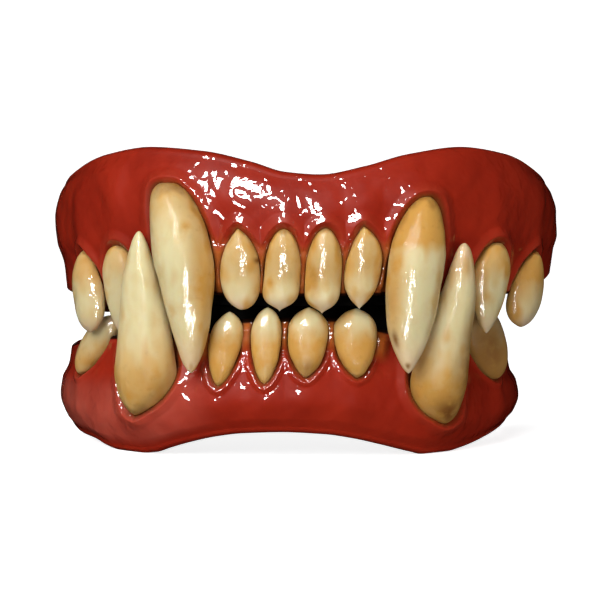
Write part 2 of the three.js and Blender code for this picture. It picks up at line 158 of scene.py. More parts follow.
# Form of a tooth: belly, where it is widest; round, the power of its root curve; point and taper, those of
# its tip curve; front and back depth by half width; curl of its centre line; turn of its face to the front;
# squareness of its section
FORM_COLUMNS = ("belly", "round", "point", "taper", "front", "back", "curl", "turn", "square")
FORM = {name: dict(zip(FORM_COLUMNS, row)) for name, row in {
    "left_fang": (0.40, 0.34, 1.3, 0.60, 0.80, 0.6, 2.4, 0.6, 1.90),
    "right_fang": (0.44, 0.44, 2.0, 0.72, 0.764, 0.6, 2.0, 0.6, 1.90),
    "slim_fang": (0.25, 0.75, 1.1, 0.58, 0.80, 0.7, 1.3, 0.6, 1.95),
    "full_fang": (0.25, 0.62, 1.05, 0.50, 0.80, 0.7, 1.3, 0.6, 1.90),
    "first_front": (0.56, 0.85, 2.8, 0.62, 0.60, 0.5, 1.0, 0.3, 2.0),
    "upper_front": (0.50, 0.56, 8.0, 2.40, 0.60, 0.5, 1.0, 0.3, 2.0),
    "last_front": (0.50, 0.85, 3.2, 1.30, 0.60, 0.5, 1.0, 0.3, 2.0),
    "lower_front": (0.66, 0.66, 2.2, 0.72, 0.60, 0.5, 1.0, 0.3, 2.05),
    "upper_side": (0.34, 0.48, 2.0, 0.72, 0.62, 0.4, 1.7, 0.3, 2.0),
    "upper_rear": (0.57, 0.75, 2.6, 0.62, 0.62, 0.4, 1.7, 0.3, 2.0),
    "lower_side": (0.55, 0.60, 3.6, 0.60, 0.62, 0.4, 1.0, 0.3, 2.0),
    "lower_broad": (0.50, 0.60, 4.5, 0.70, 0.62, 0.4, 1.0, 0.3, 2.0),
}.items()}

# Place of a tooth: x, z and distance from the arch line of its root and tip; bow carries its root half
# sideways
TOOTH_COLUMNS = ("name", "form", "width", "root_x", "root_z", "root_out", "tip_x", "tip_z", "tip_out", "bow")
TEETH = {
    "upper": [dict(zip(TOOTH_COLUMNS, row)) for row in [
        ("upper_fang_left", "left_fang", 7.7, -17.2, 34.7, 1.5, -14.5, 10.8, 2.7, 0),
        ("upper_fang_right", "right_fang", 7.3, 14.9, 33.0, 1.5, 12.9, 10.8, 2.7, 0),
        ("upper_incisor_1", "first_front", 5.1, -8.35, 29.0, 1.0, -8.15, 19.1, 1.0, 0.2),
        ("upper_incisor_2", "upper_front", 4.6, -2.7, 29.0, 1.0, -3.3, 18.6, 1.0, 0),
        ("upper_incisor_3", "upper_front", 4.5, 2.4, 29.1, 1.0, 2.0, 18.3, 1.0, 0),
        ("upper_incisor_4", "last_front", 4.7, 7.1, 29.3, 1.0, 6.7, 18.9, 1.0, 0.4),
        ("upper_premolar_left_1", "upper_side", 4.7, -24.0, 26.5, 0.9, -23.9, 15.2, 0.9, 0),
        ("upper_premolar_left_2", "upper_rear", 5.3, -28.75, 25.6, 0.9, -28.1, 15.0, 1.7, 0),
        ("upper_premolar_right_1", "upper_side", 5.4, 24.2, 26.9, 0.9, 23.3, 15.2, 0.9, 0),
        ("upper_premolar_right_2", "upper_rear", 6.1, 30.0, 25.4, 0.9, 28.3, 15.5, 0.8, 0)]],
    "lower": [dict(zip(TOOTH_COLUMNS, row)) for row in [
        ("lower_fang_left", "slim_fang", 8.2, -21.5, 4.8, 1.5, -21.1, 28.6, 4.7, 1.1),
        ("lower_fang_right", "full_fang", 7.6, 17.5, 3.7, 1.5, 20.0, 27.1, 7.15, -1.5),
        ("lower_incisor_1", "lower_front", 4.2, -10.9, 9.0, 1.0, -9.6, 18.4, 0.9, 0),
        ("lower_incisor_2", "lower_front", 4.0, -5.2, 9.4, 1.0, -4.8, 19.0, 0.9, 0),
        ("lower_incisor_3", "lower_front", 5.2, -0.1, 10.2, 1.0, 0.4, 19.0, 0.9, 0),
        ("lower_incisor_4", "lower_front", 5.7, 6.3, 10.1, 1.0, 6.3, 18.8, 0.9, 0),
        ("lower_premolar_left", "lower_side", 5.5, -29.4, 9.0, 0.8, -25.6, 17.1, -0.4, 0),
        ("lower_premolar_right", "lower_broad", 7.0, 24.6, 8.4, 0.8, 22.4, 18.4, 0.6, 0)]],
}
# How far a root stands forward of the arch line set in its row, and where along the tooth that ends
PROUD = {"fang": 0.8, "front": 0.8, "side": 0.3, "rear": 0.3, "broad": 0.3}
PROUD_FADE = (0.75, 0.2)
BOW_POWER = 2.7
BOW_SCALE = 8.7
# Steps of a tooth's outline, how many of them ease its belly, and where the easing comes in at each end
OUTLINE_STEPS = np.linspace(0, 1, 801)
OUTLINE_EASE = 121
EASE_ROOT = (0.08, 0.16)
EASE_TIP = (0.92, 0.84)
# Straight pieces of an outline from which distances are measured
OUTLINE_SIDES = 60
# The back of a tooth lies in the gum to this depth, and a fang's back is free towards its tip.
EMBED_DEPTH = 1.2
BACK_FREE = (0.3, 0.75)
# Power that keeps the front full towards the root, and where the slant of a biting edge comes in
ROOT_FULLNESS = 0.55
SLANT_FADE = (0.5, 1.0)
# Mesh of a tooth: points round it and sections along it, with room for a pole at each end
FANG_MESH = (112, 120)
TOOTH_MESH = (88, 84)
POLE_ROOM = 0.6
# Lumps and ripples of the enamel, full where the tooth is thick
ENAMEL_LUMP = 0.055
LUMP_STRETCH = (1, 1, 0.45)
ENAMEL_RIPPLE = 0.012
RIPPLE_STRETCH = (1, 1, 0.35)
THICK = 1.2

# Staining. neck: share of the length that is amber from the root; neck_amount; left and right edges;
# tone darkens the whole tooth; slant tips the biting edge; soft: how softly the neck's amber ends
STAIN_COLUMNS = ("neck", "neck_amount", "left", "right", "tone", "slant", "soft")
STAINS = {name: dict(zip(STAIN_COLUMNS, row)) for name, row in {
    "upper_fang_left": (0.26, 0.53, 0.25, 0.90, 0.00, 0.0, 1.0),
    "upper_fang_right": (0.31, 0.95, 0.70, 0.50, 0.05, 0.0, 0.35),
    "upper_incisor_1": (0.78, 0.46, 0.65, 0.60, 0.05, -0.6, 0.5),
    "upper_incisor_2": (0.72, 0.62, 0.75, 0.60, 0.05, 0.0, 0.5),
    "upper_incisor_3": (0.70, 0.62, 0.95, 0.50, 0.06, 0.0, 0.5),
    "upper_incisor_4": (0.68, 0.62, 0.65, 0.65, 0.05, 0.0, 0.5),
    "upper_premolar_left_1": (0.40, 0.50, 0.50, 0.30, 0.10, 0.0, 1.0),
    "upper_premolar_left_2": (0.50, 0.70, 0.50, 0.40, 0.20, 0.0, 1.0),
    "upper_premolar_right_1": (0.45, 0.75, 0.60, 0.80, 0.12, 0.0, 1.0),
    "upper_premolar_right_2": (0.66, 0.90, 0.85, 0.75, 0.27, 0.0, 1.0),
    "lower_fang_left": (0.42, 0.80, 0.35, 0.35, 0.03, 0.0, 1.0),
    "lower_fang_right": (0.45, 0.90, 0.40, 0.50, 0.07, 0.0, 1.0),
    "lower_incisor_1": (0.78, 0.88, 0.65, 0.60, 0.16, 0.0, 0.6),
    "lower_incisor_2": (0.72, 0.76, 0.60, 0.60, 0.13, 0.0, 0.6),
    "lower_incisor_3": (0.74, 0.82, 0.60, 0.65, 0.14, 0.0, 0.6),
    "lower_incisor_4": (0.72, 0.88, 0.60, 0.60, 0.17, 0.0, 0.6),
    "lower_premolar_left": (0.60, 0.70, 0.50, 0.50, 0.15, 0.0, 1.0),
    # Painted shade: the lower right premolar's strong tone darkens it as if in shadow behind the fang
    "lower_premolar_right": (0.66, 0.95, 0.95, 0.70, 0.55, 0.0, 1.0),
}.items()}
CLOUD_STRETCH = (1, 1, 0.5)
CLOUD_AMBER = 0.10
# The neck's amber fades out between these parts of its share, before and beyond it, on a cloudy line.
NECK_BEYOND = 0.25
NECK_BEFORE = 0.65
NECK_CLOUD = 0.05
SIDE_FADE = (0.35, 1.0)
SIDE_CLOUD = 0.14
SIDE_AMBER = 0.9
# Brown band at the root, and brown flanks that are darker near it
FANG_BAND = 0.075
TOOTH_BAND = 0.06
BAND_CORE = 0.25
BAND_CLOUD = 0.015
BAND_BROWN = 0.55
FLANK_FADE = (0.78, 1.0)
FLANK_CLOUD = 0.06
FLANK_BROWN = 0.18
FLANK_ROOT_BROWN = 0.5
FLANK_ROOT = (0.40, 0.10)

# Single marks: tooth, place along (0 root, 1 tip), place across (-1 left, 1 right), length, width,
# amber, brown
MARKS = [
    ("upper_fang_right", 0.80, -0.80, 0.06, 0.18, 0.5, 0.95),
    ("upper_fang_right", 0.955, -0.25, 0.02, 0.35, 0.6, 0.75),
    ("upper_fang_right", 0.55, -0.80, 0.30, 0.34, 0.85, 0.15),
    ("upper_fang_left", 0.52, 0.80, 0.42, 0.50, 0.9, 0.10),
    ("upper_fang_left", 0.97, 0.25, 0.03, 0.50, 0.5, 0.25),
    ("lower_fang_left", 0.23, 0.20, 0.07, 0.40, 0.7, 0.10),
    ("lower_fang_left", 0.04, 0.10, 0.03, 0.60, 0.5, 0.20),
    ("lower_fang_right", 0.07, 0.20, 0.10, 0.95, 0.8, 1.00),
    ("lower_fang_right", 0.88, 0.10, 0.07, 0.70, 0.6, 0.10),
    # Painted shade: brown and amber on the right flank of the lower right fang
    ("lower_fang_right", 0.25, 1.05, 0.42, 0.62, 0.85, 0.90),
    ("upper_incisor_1", 0.40, 0.95, 0.05, 0.20, 0.9, 1.00),
    ("upper_incisor_2", 0.64, -0.65, 0.13, 0.38, 1.0, 0.05),
    ("upper_incisor_3", 0.55, -0.65, 0.25, 0.45, 1.0, 0.25),
    ("upper_incisor_4", 0.40, 0.10, 0.25, 0.90, 0.75, 0.05),
    ("lower_incisor_3", 0.14, 0.10, 0.16, 0.80, 0.9, 0.62),
    # Painted shade: brown over the lower right premolar, which sits in shadow
    ("lower_premolar_right", 0.40, -0.30, 0.50, 0.90, 0.9, 0.85),
]
# Marks keep off the back of a tooth, and their brown is narrower than their amber.
MARK_FRONT = -0.2
MARK_CORE = 1.5

# Forms whose tip keeps the colour of the rest
UNTINTED = ("slim_fang", "lower_front")
TIP_FADE = (0.72, 1.0)
# Stretch of the length where a tooth is polished: shares where it starts, is full, starts to end and ends
POLISH_SPAN = {
    "left_fang": (0.40, 0.50, 0.76, 0.86),
    "right_fang": (0.36, 0.46, 0.74, 0.84),
    "slim_fang": (0.40, 0.90, 1.10, 1.20),
    "full_fang": (0.50, 0.90, 1.10, 1.20),
    "first_front": (0.16, 0.26, 0.48, 0.62),
    "upper_front": (0.14, 0.24, 0.52, 0.64),
    "last_front": (0.12, 0.22, 0.44, 0.58),
    "lower_front": (0.68, 0.80, 1.10, 1.20),
}
POLISH_ELSEWHERE = (0.2, 0.4, 1.1, 1.2)
# Teeth that are duller than the rest
POLISH = {
    "lower_fang_left": 0.35, "lower_fang_right": 0.6,
    "upper_premolar_right_2": 0.5, "lower_premolar_right": 0.3,
    "lower_incisor_1": 0.6, "lower_incisor_2": 0.5, "lower_incisor_3": 0.5, "lower_incisor_4": 0.45,
}

rng = np.random.default_rng(7)


def smoothstep(low, high, value):
    t = np.clip((value - low) / (high - low), 0, 1)
    return t * t * (3 - 2 * t)


def monotone(xs, ys, at):
    """Smooth curve through a table that never overshoots a row."""
    xs, ys = np.asarray(xs, float), np.asarray(ys, float)
    chord = np.diff(ys) / np.diff(xs)
    before = np.concatenate([chord[:1], chord])
    after = np.concatenate([chord, chord[-1:]])
    total = before + after
    slope = np.where(before * after <= 0, 0, 2 * before * after / np.where(total == 0, 1, total))
    at = np.clip(at, xs[0], xs[-1])
    i = np.clip(np.searchsorted(xs, at, side="right") - 1, 0, len(xs) - 2)
    step = xs[i + 1] - xs[i]
    t = (at - xs[i]) / step
    rise = ys[i + 1] - ys[i]
    lead = slope[i] * step - rise
    trail = rise - slope[i + 1] * step
    return ys[i] + t * rise + t * (1 - t) * ((1 - t) * lead + t * trail)


def ramp(value):
    """Straight rise from 0 to 1, eased a little at the foot."""
    value = np.clip(value, 0, 1)
    rise = np.where(value < RAMP_EASE, value ** 2 / (2 * RAMP_EASE), value - RAMP_EASE / 2)
    return rise / (1 - RAMP_EASE / 2)


class Waves:
    """Smooth repeatable lumps: a sum of waves in random directions."""

    def __init__(self, shortest, longest, count):
        direction = rng.normal(size=(count, 3))
        direction /= np.linalg.norm(direction, axis=1, keepdims=True)
        length = np.exp(rng.uniform(math.log(shortest), math.log(longest), count))
        self.k = direction * (2 * math.pi / length)[:, None]
        self.phase = rng.uniform(0, 2 * math.pi, count)
        self.scale = math.sqrt(2.0 / count)

    def __call__(self, points):
        return np.sin(points @ self.k.T + self.phase).sum(-1) * self.scale


# Shortest and longest wave, and how many; their order sets the random draws.
GUM_SWELL = Waves(6, 14, 18)
GUM_LUMPS = Waves(1.6, 4.0, 40)
TOOTH_LUMPS = Waves(2.0, 6.0, 30)
TOOTH_RIPPLE = Waves(0.7, 1.6, 40)
STAIN_CLOUD = Waves(1.2, 4.0, 40)


def arch_frame(arch, angle):
    """Plan point and outward normal at an angle from the middle of an arch."""
    angle = np.asarray(angle, float)
    point = np.stack([arch["centre_x"] + arch["half_width"] * np.sin(angle),
                      arch["front_y"] + arch["half_depth"] * (1 - np.cos(angle))], -1)
    tangent = np.stack([arch["half_width"] * np.cos(angle), arch["half_depth"] * np.sin(angle)], -1)
    tangent /= np.linalg.norm(tangent, axis=-1, keepdims=True)
    return point, np.stack([tangent[..., 1], -tangent[..., 0]], -1)


def angle_at_x(arch, x, out):
    """Angle of the place that has this x at a distance out from the arch line."""
    angle = 0.0
    for _ in range(ANGLE_PASSES):
        normal = arch_frame(arch, angle)[1]
        sine = (x - arch["centre_x"] - normal[0] * out) / arch["half_width"]
        angle = math.asin(max(-SINE_LIMIT, min(SINE_LIMIT, sine)))
    return angle


def new_object(name, verts_mm, faces, attributes):
    """Mesh object in the row frame from points in the drawing frame, with per-point values."""
    points = (np.asarray(verts_mm, float) + FRAME_SHIFT) * MM
    mesh = bpy.data.meshes.new(name)
    mesh.from_pydata(points.tolist(), [], faces)
    mesh.polygons.foreach_set("use_smooth", np.ones(len(mesh.polygons), bool))
    for key, values in attributes.items():
        layer = mesh.attributes.new(key, "FLOAT", "POINT")
        layer.data.foreach_set("value", np.asarray(values, np.float32).ravel())
    mesh.update()
    obj = bpy.data.objects.new(name, mesh)
    bpy.context.scene.collection.objects.link(obj)
    return obj


def ring_faces(rows, sides, turned):
    """Quads between rings of equal point count and a fan to a pole at each end, turned over where asked."""
    faces = []
    for r in range(rows - 1):
        a = r * sides
        for s in range(sides):
            n = (s + 1) % sides
            faces.append((a + s, a + n, a + sides + n, a + sides + s))
    pole = rows * sides
    top = (rows - 1) * sides
    faces += [(pole, (s + 1) % sides, s) for s in range(sides)]
    faces += [(pole + 1, top + s, top + (s + 1) % sides) for s in range(sides)]
    return [face[::-1] for face in faces] if turned else faces


class Tooth:
    """Centre line, outline, surface and stains of one tooth."""

    def __init__(self, arch, row):
        self.row = row
        self.form = FORM[row["form"]]
        self.stain = STAINS[row["name"]]
        self.is_fang = row["form"].endswith("fang")
        self.proud = PROUD[row["form"].split("_")[1]]
        self.upward = math.copysign(1, row["tip_z"] - row["root_z"])
        root_point, root_out = arch_frame(arch, angle_at_x(arch, row["root_x"], row["root_out"]))
        tip_point, tip_out = arch_frame(arch, angle_at_x(arch, row["tip_x"], row["tip_out"]))
        self.root = root_point + root_out * row["root_out"]
        self.tip = tip_point + tip_out * row["tip_out"]
        facing = root_out * (1 - self.form["turn"]) + FORWARD * self.form["turn"]
        self.facing = facing / np.linalg.norm(facing)
        self.across = np.array([-self.facing[1], self.facing[0]])
        self.half_widths = self.outline()

    def along(self, z):
        return (z - self.row["root_z"]) / (self.row["tip_z"] - self.row["root_z"])

    def height(self, along):
        return self.row["root_z"] + (self.row["tip_z"] - self.row["root_z"]) * along

    def centre(self, along):
        along = np.asarray(along, float)
        bent = 1 - np.power(np.clip(1 - along, 0, None), self.form["curl"])
        plan = self.root + (self.tip - self.root) * bent[..., None]
        swing = self.row["bow"] * BOW_SCALE
        plan[..., 0] += swing * along * np.power(np.clip(1 - along, 0, None), BOW_POWER)
        return plan + self.facing * (self.proud * smoothstep(*PROUD_FADE, along))[..., None]

    def outline(self):
        """Half widths at OUTLINE_STEPS, with the belly where the two curves meet eased over."""
        form = self.form
        rise = np.clip(1 - OUTLINE_STEPS / form["belly"], 0, 1)
        fall = np.clip((OUTLINE_STEPS - form["belly"]) / (1 - form["belly"]), 0, 1)
        low = np.power(1 - rise * rise, form["round"])
        high = np.power(1 - np.power(fall, form["point"]), form["taper"])
        sharp = self.row["width"] / 2 * np.where(OUTLINE_STEPS < form["belly"], low, high)
        window = np.hanning(OUTLINE_EASE)
        eased = np.convolve(sharp, window / window.sum(), "same")
        inside = smoothstep(*EASE_ROOT, OUTLINE_STEPS) * smoothstep(*EASE_TIP, OUTLINE_STEPS)
        return sharp + (eased - sharp) * inside

    def half_width(self, along):
        return np.interp(along, OUTLINE_STEPS, self.half_widths)

    def distance(self, across, z):
        """Distance from the tooth's outline, seen square on; negative inside."""
        u = (1 - np.cos(np.pi * np.linspace(0, 1, OUTLINE_SIDES + 1))) / 2
        px = self.half_width(u)
        pz = self.height(u)
        best = np.full(across.shape, np.inf)
        for i in range(OUTLINE_SIDES):
            dx, dz = px[i + 1] - px[i], pz[i + 1] - pz[i]
            t = np.clip(((across - px[i]) * dx + (z - pz[i]) * dz) / (dx * dx + dz * dz), 0, 1)
            best = np.minimum(best, (across - px[i] - t * dx) ** 2 + (z - pz[i] - t * dz) ** 2)
        along = self.along(z)
        inside = (along > 0) & (along < 1) & (across < self.half_width(along))
        return np.where(inside, -1, 1) * np.sqrt(best)

    def surface(self):
        """Points in rings from root to tip, the rings' places along, and cosine and sine round a ring."""
        row, form = self.row, self.form
        sides, sections = FANG_MESH if self.is_fang else TOOTH_MESH
        step = (np.arange(sections) + POLE_ROOM) / (sections + 2 * POLE_ROOM - 1)
        along = (1 - np.cos(np.pi * step)) / 2
        half = self.half_width(along)
        # The front stays full towards the root, so the tooth stands clear of the gum there.
        share = half / half.max()
        fullness = np.where(along < form["belly"], np.power(share, ROOT_FULLNESS), share)
        front = half.max() * form["front"] * fullness
        back_full = half * form["back"]
        free = smoothstep(*BACK_FREE, along) if self.is_fang else np.zeros_like(along)
        held = np.minimum(back_full, EMBED_DEPTH)
        back = held + (back_full - held) * free
        turn = 2 * np.pi * np.arange(sides) / sides
        power = 2.0 / form["square"]
        cosine = np.sign(np.cos(turn)) * np.abs(np.cos(turn)) ** power
        sine = np.sign(np.sin(turn)) * np.abs(np.sin(turn)) ** power
        across = half[:, None] * cosine[None]
        depth = np.where(sine[None] > 0, front[:, None], back[:, None]) * sine[None]
        plan = self.centre(along)[:, None] + across[..., None] * self.across + depth[..., None] * self.facing
        slant = self.upward * self.stain["slant"] * (across / row["width"] + 0.5)
        z = self.height(along)[:, None] - slant * smoothstep(*SLANT_FADE, along)[:, None]
        points = np.concatenate([plan, z[..., None]], -1)
        outward = np.stack([cosine[None] * self.across[0] + sine[None] * self.facing[0],
                            cosine[None] * self.across[1] + sine[None] * self.facing[1],
                            np.zeros((1, sides))], -1)
        swell = ENAMEL_LUMP * TOOTH_LUMPS(points * LUMP_STRETCH)
        swell = swell + ENAMEL_RIPPLE * TOOTH_RIPPLE(points * RIPPLE_STRETCH)
        swell *= np.minimum(1, half / THICK)[:, None]
        return points + outward * swell[..., None], along, cosine, sine

    def stains(self, points, along, cosine, sine):
        """Values of the colours and the polish at each point of the surface."""
        stain, soft = self.stain, self.stain["soft"]
        u = np.repeat(along[:, None], len(cosine), 1)
        v = np.repeat(cosine[None], len(along), 0)
        cloud = STAIN_CLOUD(points * CLOUD_STRETCH)
        beyond = stain["neck"] * (1 + NECK_BEYOND * soft)
        before = stain["neck"] * (1 - NECK_BEFORE * soft)
        neck = smoothstep(beyond, before, u + NECK_CLOUD * soft * cloud) * stain["neck_amount"]
        left = stain["left"] * smoothstep(*SIDE_FADE, -v + SIDE_CLOUD * cloud)
        right = stain["right"] * smoothstep(*SIDE_FADE, v + SIDE_CLOUD * cloud)
        amber = 1 - (1 - neck) * (1 - SIDE_AMBER * left) * (1 - SIDE_AMBER * right)
        amber = np.clip(amber + CLOUD_AMBER * np.clip(cloud, 0, None), 0, 1)
        band = FANG_BAND if self.is_fang else TOOTH_BAND
        brown = BAND_BROWN * smoothstep(band, band * BAND_CORE, u + BAND_CLOUD * cloud)
        flank = smoothstep(*FLANK_FADE, np.abs(v) + FLANK_CLOUD * cloud)
        flank = flank * (stain["left"] + stain["right"]) / 2
        brown = np.maximum(brown, (FLANK_BROWN + FLANK_ROOT_BROWN * smoothstep(*FLANK_ROOT, u)) * flank)
        for name, mark_u, mark_v, length, width, mark_amber, mark_brown in MARKS:
            if name == self.row["name"]:
                spot = np.exp(-((u - mark_u) / length) ** 2 - ((v - mark_v) / width) ** 2)
                spot = spot * (sine[None] > MARK_FRONT)
                amber = np.maximum(amber, mark_amber * spot)
                brown = np.maximum(brown, mark_brown * spot ** MARK_CORE)
        tip = smoothstep(*TIP_FADE, u) * (self.row["form"] not in UNTINTED)
        start, full, fading, end = POLISH_SPAN.get(self.row["form"], POLISH_ELSEWHERE)
        polish = smoothstep(start, full, u) * smoothstep(end, fading, u) * POLISH.get(self.row["name"], 1.0)
        tone = np.full_like(u, stain["tone"])
        return {"amber": amber, "brown": brown, "tip": tip, "tone": tone, "polish": polish}


def make_tooth(tooth):
    row = tooth.row
    points, along, cosine, sine = tooth.surface()
    root_pole = np.append(tooth.centre(0.0), row["root_z"])
    tip_pole = np.append(tooth.centre(1.0), row["tip_z"] - tooth.upward * tooth.stain["slant"] * 0.5)
    verts = np.concatenate([points.reshape(-1, 3), [root_pole, tip_pole]])
    values = {key: np.append(value.ravel(), [value[0].mean(), value[-1].mean()])
              for key, value in tooth.stains(points, along, cosine, sine).items()}
    faces = ring_faces(len(along), len(cosine), tooth.upward < 0)
    return new_object(row["name"] + "_enamel", verts, faces, values)


class Gum:
    """Wall of one veneer: its edges, its relief round the teeth, its rings of points and its colours."""

    def __init__(self, side, teeth):
        self.side = side
        self.upward = UPWARD[side]
        even, cubic = SPACING
        s = np.linspace(-1, 1, GUM_COLUMNS)
        self.angle = END_ANGLE * (even * s + cubic * s ** 3)
        self.point, self.normal = arch_frame(ARCH[side], self.angle)
        self.biting, self.flange = self.edges()
        self.share = np.linspace(0, 1, GUM_ROWS)
        self.z = self.biting[:, None] + (self.flange - self.biting)[:, None] * self.share[None]
        out = np.repeat(monotone(RELIEF_SHARE, RELIEF_OUT, self.share)[None], GUM_COLUMNS, 0)
        if side == "upper":
            flare = END_FLARE * smoothstep(*FLARE_FADE, self.angle)
            out = out + flare[:, None] * smoothstep(*FLARE_SHARE, self.share)[None]
        self.plan = self.point[:, None] + self.normal[:, None] * out[..., None]
        self.meet_teeth(teeth)
        self.fill_septa()
        out = out + self.bulge + np.maximum(self.collar, self.filled) + self.groove + self.lumps()
        past = (np.abs(self.angle) - (END_ANGLE - END_ROUND)) / END_ROUND
        self.thick = np.sqrt(1 - np.clip(past, 0, ROUND_LIMIT) ** 2)
        middle = (out + WALL_INNER) / 2
        self.out = middle + (out - middle) * self.thick[:, None]
        self.inner = middle - (middle - WALL_INNER) * self.thick[:, None]

    def edges(self):
        """Heights of the biting edge and of the flange."""
        table, x = EDGES[self.side], self.point[:, 0]
        biting = monotone(table[:, 0], table[:, 1], x)
        flange = monotone(table[:, 0], table[:, 2], x)
        if self.side == "upper":
            corner = np.clip((np.abs(self.angle) - (END_ANGLE - CORNER_ANGLE)) / CORNER_ANGLE, 0, 1)
            drop = CORNER_DROP * (1 - np.sqrt(1 - CORNER_LIMIT * corner ** 2))
            flange = flange + (biting - flange) * drop
        for place, width, reach in PAPILLAE[self.side]:
            biting = biting - self.upward * reach * np.exp(-((x - place) / width) ** 2)
        return biting, flange

    def meet_teeth(self, teeth):
        """Collars, grooves and root swellings, with the distance from the nearest tooth and its seam."""
        self.collar = np.zeros_like(self.z)
        self.groove = np.zeros_like(self.z)
        self.bulge = np.zeros_like(self.z)
        self.seam = np.zeros_like(self.z)
        self.nearest = np.full(self.z.shape, FAR)
        for tooth in teeth:
            along = tooth.along(self.z)
            offset = self.plan - tooth.centre(np.clip(along, 0, 1))
            lateral = offset @ tooth.across
            near = np.abs(lateral) < tooth.row["width"] / 2 + NEAR_SIDE
            near = near & (np.abs(offset @ tooth.facing) < NEAR_FACE) & (along > NEAR_ROOT)
            distance = tooth.distance(np.abs(lateral[near]), self.z[near])
            outside = np.clip(distance, 0, None)
            style = COLLAR["fang" if tooth.is_fang else self.side]
            past = distance - style["ridge"]
            crest = np.where(past < 0, np.exp(-np.abs(past / style["inner"]) ** CREST_POWER),
                             ramp(1 - past / style["outer"]))
            rolled = style["height"] * crest * (1 - smoothstep(*style["fade"], along[near]))
            self.collar[near] = np.maximum(self.collar[near], rolled)
            sunk = -GROOVE_DEPTH * np.exp(-(outside / GROOVE_WIDTH) ** 2)
            sunk = sunk - SOCKET_DEPTH * smoothstep(0, -SOCKET_RUN, distance)
            self.groove[near] = np.minimum(self.groove[near], sunk)
            self.nearest[near] = np.minimum(self.nearest[near], distance)
            self.seam[near] = np.maximum(self.seam[near], np.exp(-(outside / style["seam"]) ** 2))
            bulge = style["bulge"] * np.exp(-(lateral / style["bulge_width"]) ** 2)
            bulge = bulge * smoothstep(*BULGE_ROOT, along) * smoothstep(*BULGE_FLANGE, self.share)[None]
            self.bulge = np.maximum(self.bulge, bulge)

    def fill_septa(self):
        """Gum between the front teeth, and the shallower grooves there."""
        across = np.abs(self.plan[..., 0] - SEPTUM_CENTRE[self.side])
        between = smoothstep(*SEPTUM_NEAR, self.nearest)
        between = between * smoothstep(*SEPTUM_SHARE[self.side], self.share)[None]
        self.between = between * smoothstep(*SEPTUM_ACROSS, across)
        shallow = SEPTUM_GROOVE * self.between * smoothstep(*SEPTUM_GROOVE_FADE, self.nearest)
        self.groove = self.groove * (1 - shallow)
        filled = SEPTUM_FILL * self.between * smoothstep(*SEPTUM_TOOTH, self.nearest)
        self.filled = filled * smoothstep(*SEPTUM_BITING, self.share)[None]

    def lumps(self):
        position = np.concatenate([self.plan, self.z[..., None]], -1)
        fade = smoothstep(*LUMP_BITING, self.share)[None] * smoothstep(*LUMP_FLANGE, self.share)[None]
        fade = fade * smoothstep(END_ANGLE, END_ANGLE - LUMP_END, np.abs(self.angle))[:, None]
        return (SWELL_HEIGHT * GUM_SWELL(position) + LUMP_HEIGHT * GUM_LUMPS(position)) * fade

    def line(self, offset, height):
        """Points along the wall at an offset from the arch line."""
        spot = self.point + self.normal * offset[:, None]
        return np.concatenate([spot, height[:, None]], -1)

    def rim(self, row, turn, edge, height):
        """Rounded rim over one edge, from the outer face in (1) or from the inner face out (-1)."""
        half = (self.out[:, row] - self.inner[:, row]) / 2
        lines = []
        for k in range(1, RIM_STEPS):
            phi = math.pi * k / RIM_STEPS
            offset = self.inner[:, row] + half * (1 + turn * math.cos(phi))
            lines.append(self.line(offset, edge + height * math.sin(phi) * self.thick))
        return lines

    def points(self):
        """Points by column, each column running up the outer face, over, down the inner face and back."""
        lines = [self.line(self.out[:, r], self.z[:, r]) for r in range(GUM_ROWS)]
        lines += self.rim(-1, 1, self.flange, self.upward * RIM_HEIGHT)
        for k in range(INNER_ROWS + 1):
            r = round((GUM_ROWS - 1) * (1 - k / INNER_ROWS))
            lines.append(self.line(self.inner[:, r], self.z[:, r]))
        lines += self.rim(0, -1, self.biting, -self.upward * BITING_RIM)
        return np.stack(lines, 1)

    def colours(self, points):
        """Values of the colours and the wetness at each point."""
        names = ("stain", "septum", "pale", "edge", "painted_sheen", "wet", "bead", "inside")
        values = {name: np.zeros(points.shape[:2]) for name in names}
        inner_start = GUM_ROWS + RIM_STEPS - 1
        ends = np.abs(self.angle)[:, None]
        outer = {name: value[:, :GUM_ROWS] for name, value in values.items()}
        outer["stain"][:] = self.seam
        outer["septum"][:] = self.between
        outer["pale"][:] = self.collar / COLLAR["fang"]["height"]
        # Painted shade: near-black along the biting edge
        outer["edge"][:] = smoothstep(*EDGE_SHARE, self.share)[None]
        outer["bead"][:] = self.between
        if self.side == "lower":
            # Painted sheen: a pale reflection painted on the left cheek of the lower gum
            sheen = smoothstep(*SHEEN_ACROSS, self.plan[..., 0]) * smoothstep(*SHEEN_SHARE, self.share)[None]
            outer["painted_sheen"][:] = sheen * smoothstep(*SHEEN_FLANGE, self.share)[None]
            outer["bead"][:] = smoothstep(*BEAD_NEAR, self.nearest)
        above = np.abs(points[:, inner_start:, 2] - self.biting[:, None])
        values["edge"][:, inner_start:] = smoothstep(*EDGE_INSIDE, above)
        values["edge"] *= smoothstep(*EDGE_ENDS, ends)
        values["inside"][:, inner_start:] = 1.0
        values["wet"][:] = smoothstep(*WET_FADE, ends)
        return values


def make_gum(side, teeth):
    gum = Gum(side, teeth)
    points = gum.points()
    poles = np.stack([points[0].mean(0), points[-1].mean(0)])
    verts = np.concatenate([points.reshape(-1, 3), poles])
    values = {key: np.append(value.ravel(), [0, 0]) for key, value in gum.colours(points).items()}
    faces = ring_faces(*points.shape[:2], gum.upward < 0)
    return new_object(side + "_gum_flesh", verts, faces, values)


